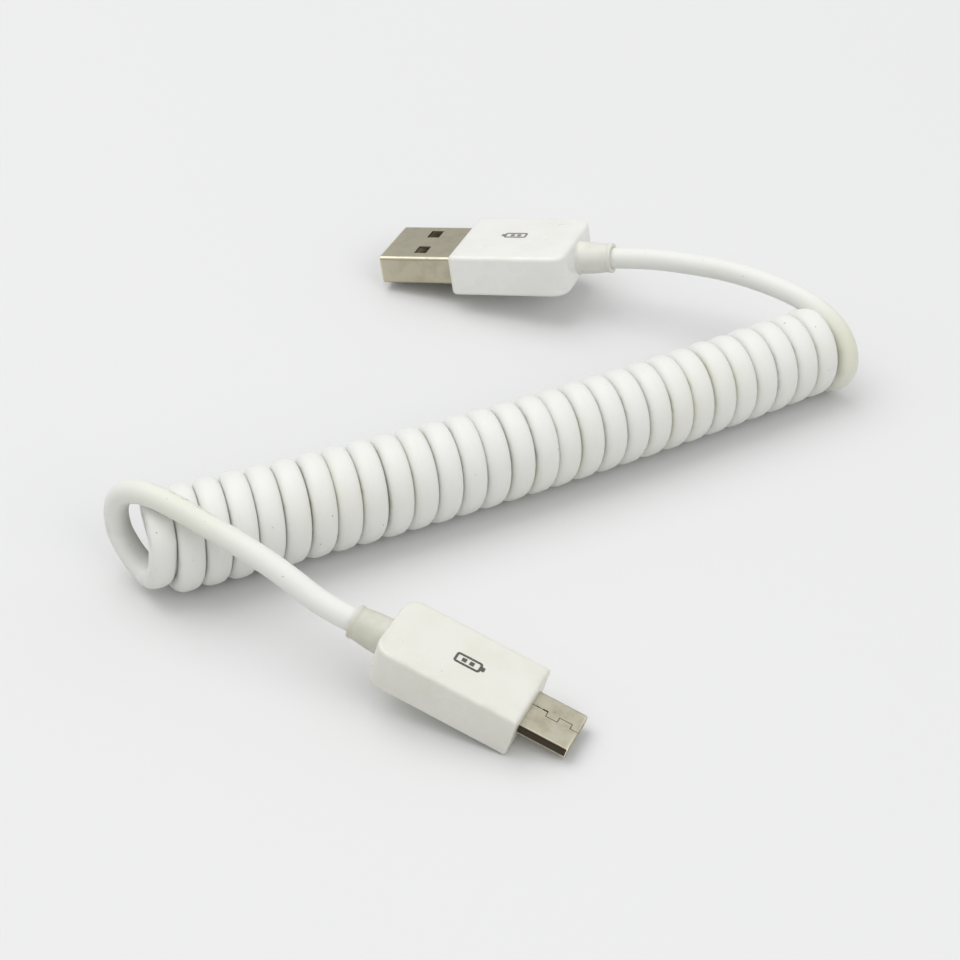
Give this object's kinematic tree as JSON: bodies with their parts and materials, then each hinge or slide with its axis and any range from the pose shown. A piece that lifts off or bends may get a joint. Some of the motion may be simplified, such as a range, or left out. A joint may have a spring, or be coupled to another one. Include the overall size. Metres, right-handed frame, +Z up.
{
  "type": "charging cable",
  "caption": "Coiled white charging cord with a USB-A plug at one end and a Micro-B plug at the other, lying on the ground with the coil closed up.",
  "frame": {"origin": "on the ground, midway between the outer limits of the two plugs", "axes": "+Z up; +Y from the Micro-B plug towards the USB-A plug; +X to the end of the coil where the USB-A lead leaves it"},
  "size_m": [0.1043, 0.1162, 0.0175],
  "materials": {
    "housing_plastic": "white moulded plastic, softly glossy, slightly yellowed",
    "relief_plastic": "off-white flexible plastic, matt",
    "cord_jacket": "off-white flexible jacket, satin, with light grime",
    "nickel_shell": "nickel-plated sheet, satin, warm grey, fine scratches",
    "can_steel": "tinned sheet, dull",
    "spring_steel": "stainless spring strip",
    "gold_contact": "gold-plated contact strip",
    "solder": "dull bright solder",
    "white_insulator": "white moulded insulator",
    "black_insulator": "black moulded insulator",
    "cover_plastic": "milky moulded cover",
    "wire_red": "red wire insulation",
    "wire_white": "white wire insulation",
    "wire_green": "green wire insulation",
    "wire_black": "black wire insulation",
    "mark_ink": "dark grey printed ink"
  },
  "bodies": {
    "cable": {"usb_shell": "nickel_shell", "usb_insulator": "white_insulator", "usb_contact_power": "gold_contact", "usb_contact_data_minus": "gold_contact", "usb_contact_data_plus": "gold_contact", "usb_contact_ground": "gold_contact", "usb_rear_shield_top": "can_steel", "usb_rear_shield_bottom": "can_steel", "usb_inner_cover": "cover_plastic", "usb_cable_clamp": "can_steel", "usb_jacket_end": "cord_jacket", "usb_wire_red": "wire_red", "usb_wire_white": "wire_white", "usb_wire_green": "wire_green", "usb_wire_black": "wire_black", "usb_solder_joints": "solder", "usb_housing": "housing_plastic", "usb_strain_relief": "relief_plastic", "usb_mark": "mark_ink", "micro_shell": "nickel_shell", "micro_insulator": "black_insulator", "micro_contact_roots": "gold_contact", "micro_latch_roots": "spring_steel", "micro_rear_shield_top": "can_steel", "micro_rear_shield_bottom": "can_steel", "micro_inner_cover": "cover_plastic", "micro_cable_clamp": "can_steel", "micro_jacket_end": "cord_jacket", "micro_wire_red": "wire_red", "micro_wire_white": "wire_white", "micro_wire_green": "wire_green", "micro_wire_black": "wire_black", "micro_solder_joints": "solder", "micro_housing": "housing_plastic", "micro_strain_relief": "relief_plastic", "micro_mark": "mark_ink", "coil": "cord_jacket", "usb_lead": "cord_jacket", "micro_lead": "cord_jacket"},
    "micro_contact_arm_1": {"micro_contact_arm_1": "gold_contact"},
    "micro_contact_arm_2": {"micro_contact_arm_2": "gold_contact"},
    "micro_contact_arm_3": {"micro_contact_arm_3": "gold_contact"},
    "micro_contact_arm_4": {"micro_contact_arm_4": "gold_contact"},
    "micro_contact_arm_5": {"micro_contact_arm_5": "gold_contact"},
    "micro_latch_arm_left": {"micro_latch_arm_left": "spring_steel"},
    "micro_latch_arm_right": {"micro_latch_arm_right": "spring_steel"}
  },
  "joints": [
    {"name": "micro_contact_1_flex", "type": "hinge", "parent": "cable", "child": "micro_contact_arm_1", "pos_m": [0.00404, -0.05377, 0.00269], "axis": [0.4115, 0.9114, 0], "range_deg": [0, 2.5], "stiffness_Nm_per_rad": 0.03},
    {"name": "micro_contact_2_flex", "type": "hinge", "parent": "cable", "child": "micro_contact_arm_2", "pos_m": [0.00431, -0.05318, 0.00269], "axis": [0.4115, 0.9114, 0], "range_deg": [0, 2.5], "stiffness_Nm_per_rad": 0.03},
    {"name": "micro_contact_3_flex", "type": "hinge", "parent": "cable", "child": "micro_contact_arm_3", "pos_m": [0.00457, -0.05259, 0.00269], "axis": [0.4115, 0.9114, 0], "range_deg": [0, 2.5], "stiffness_Nm_per_rad": 0.03},
    {"name": "micro_contact_4_flex", "type": "hinge", "parent": "cable", "child": "micro_contact_arm_4", "pos_m": [0.00484, -0.052, 0.00269], "axis": [0.4115, 0.9114, 0], "range_deg": [0, 2.5], "stiffness_Nm_per_rad": 0.03},
    {"name": "micro_contact_5_flex", "type": "hinge", "parent": "cable", "child": "micro_contact_arm_5", "pos_m": [0.00511, -0.0514, 0.00269], "axis": [0.4115, 0.9114, 0], "range_deg": [0, 2.5], "stiffness_Nm_per_rad": 0.03},
    {"name": "micro_latch_left_flex", "type": "hinge", "parent": "cable", "child": "micro_latch_arm_left", "pos_m": [0.00523, -0.05036, 0.00246], "axis": [-0.4115, -0.9114, 0], "range_deg": [0, 4.5], "stiffness_Nm_per_rad": 0.05},
    {"name": "micro_latch_right_flex", "type": "hinge", "parent": "cable", "child": "micro_latch_arm_right", "pos_m": [0.00334, -0.05455, 0.00246], "axis": [-0.4115, -0.9114, 0], "range_deg": [0, 4.5], "stiffness_Nm_per_rad": 0.05}
  ]
}
